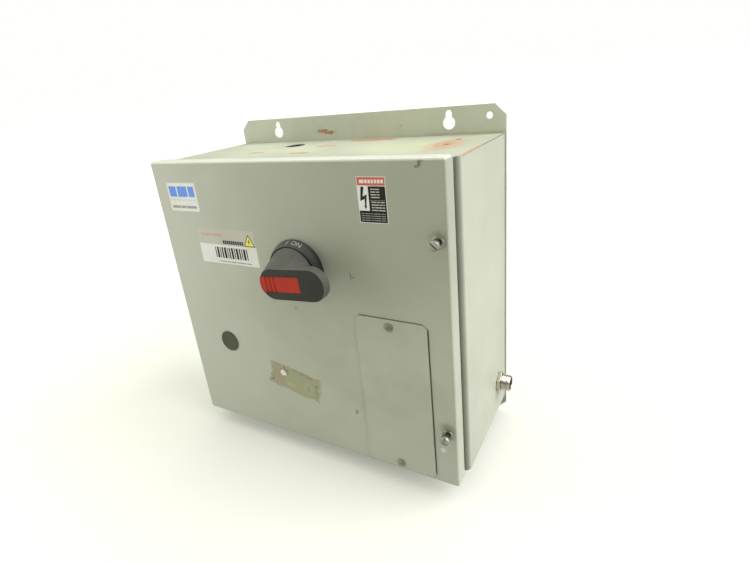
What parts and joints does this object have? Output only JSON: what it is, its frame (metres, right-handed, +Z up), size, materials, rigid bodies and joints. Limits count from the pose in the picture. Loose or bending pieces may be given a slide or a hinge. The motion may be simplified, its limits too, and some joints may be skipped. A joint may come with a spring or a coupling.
{
  "type": "fused disconnect switch",
  "caption": "Sheet-steel wall enclosure with a hinged door and a rotary handle that works a three-pole fused switch inside.",
  "frame": {"origin": "middle of the wall face, the rear face of the back panel", "axes": "+Y into the wall, +Z up, +X to the right of someone facing the door"},
  "size_m": [0.439, 0.2355, 0.4385],
  "materials": {
    "paint": "satin grey-green enamel",
    "white_paint": "satin",
    "black_plastic": "satin",
    "red_plastic": "satin",
    "dark_moulding": "satin",
    "grey_moulding": "satin",
    "steel": "zinc plated, dull",
    "nickel": "nickel plated",
    "copper": "bare copper",
    "aluminium": "tin plated",
    "fuse_paper": "dull fibre tube",
    "foam": "closed-cell foam",
    "clear_plastic": "clear polycarbonate"
  },
  "bodies": {
    "enclosure": {"back_panel": "paint", "body_top": "paint", "body_bottom": "paint", "body_left_side": "paint", "body_right_side": "paint", "front_rim": "paint", "mounting_pan": "white_paint", "hinge_upper_body_leaf": "paint", "hinge_lower_body_leaf": "paint", "hinge_upper_pin": "steel", "hinge_lower_pin": "steel", "captive_nut_upper": "steel", "captive_nut_lower": "steel", "receptacle_shell": "nickel", "receptacle_nut": "nickel", "switch_base": "dark_moulding", "switch_cover": "dark_moulding", "line_contact_1": "copper", "line_contact_2": "copper", "line_contact_3": "copper", "load_contact_1": "copper", "load_contact_2": "copper", "load_contact_3": "copper", "lower_clip_1": "copper", "lower_clip_2": "copper", "lower_clip_3": "copper", "line_lug_1": "aluminium", "line_lug_2": "aluminium", "line_lug_3": "aluminium", "load_lug_1": "aluminium", "load_lug_2": "aluminium", "load_lug_3": "aluminium", "ground_lug": "aluminium", "fuse_block": "dark_moulding", "fuse_1": "fuse_paper", "fuse_2": "fuse_paper", "fuse_3": "fuse_paper", "line_shield": "clear_plastic"},
    "door": {"door_panel": "paint", "door_gasket": "foam", "cover_plate": "paint", "cover_screw_upper": "steel", "cover_screw_lower": "steel", "handle_bezel": "black_plastic", "hole_plug": "black_plastic", "hinge_upper_door_leaf": "paint", "hinge_lower_door_leaf": "paint", "screw_cup_upper": "steel", "screw_cup_lower": "steel"},
    "handle": {"handle_knob": "black_plastic", "handle_socket": "dark_moulding"},
    "padlock_slide": {"padlock_slide": "red_plastic"},
    "captive_screw_upper": {"captive_screw_upper": "steel"},
    "captive_screw_lower": {"captive_screw_lower": "steel"},
    "shaft": {"operating_shaft": "steel", "drive_cam": "grey_moulding"},
    "contact_carrier": {"contact_carrier": "grey_moulding", "bridge_contact_1": "copper", "bridge_contact_2": "copper", "bridge_contact_3": "copper"}
  },
  "joints": [
    {"name": "door_hinge", "type": "hinge", "parent": "enclosure", "child": "door", "pos_m": [-0.2115, -0.1675, 0], "axis": [0, 0, -1], "range_deg": [0, 115]},
    {"name": "handle_turn", "type": "hinge", "parent": "door", "child": "handle", "pos_m": [0.0158, -0.1895, 0.0642], "axis": [0, 1, 0], "range_deg": [0, 94.5]},
    {"name": "padlock_slide_out", "type": "slide", "parent": "handle", "child": "padlock_slide", "axis": [-0.9969, 0, -0.0785], "range_m": [0, 0.008]},
    {"name": "captive_screw_upper_in", "type": "slide", "parent": "door", "child": "captive_screw_upper", "axis": [0, 1, 0], "range_m": [0, 0.0077]},
    {"name": "captive_screw_lower_in", "type": "slide", "parent": "door", "child": "captive_screw_lower", "axis": [0, 1, 0], "range_m": [0, 0.0077]},
    {"name": "shaft_turn", "type": "hinge", "parent": "enclosure", "child": "shaft", "pos_m": [0.0158, -0.1, 0.0642], "axis": [0, 1, 0], "range_deg": [0, 94.5]},
    {"name": "carrier_slide", "type": "slide", "parent": "enclosure", "child": "contact_carrier", "axis": [0, 1, 0], "range_m": [0, 0.008]}
  ],
  "couplings": [
    {"joint": "shaft_turn", "follows": "handle_turn", "ratio": 1},
    {"joint": "carrier_slide", "follows": "handle_turn", "m_per_rad": 0.00485}
  ]
}
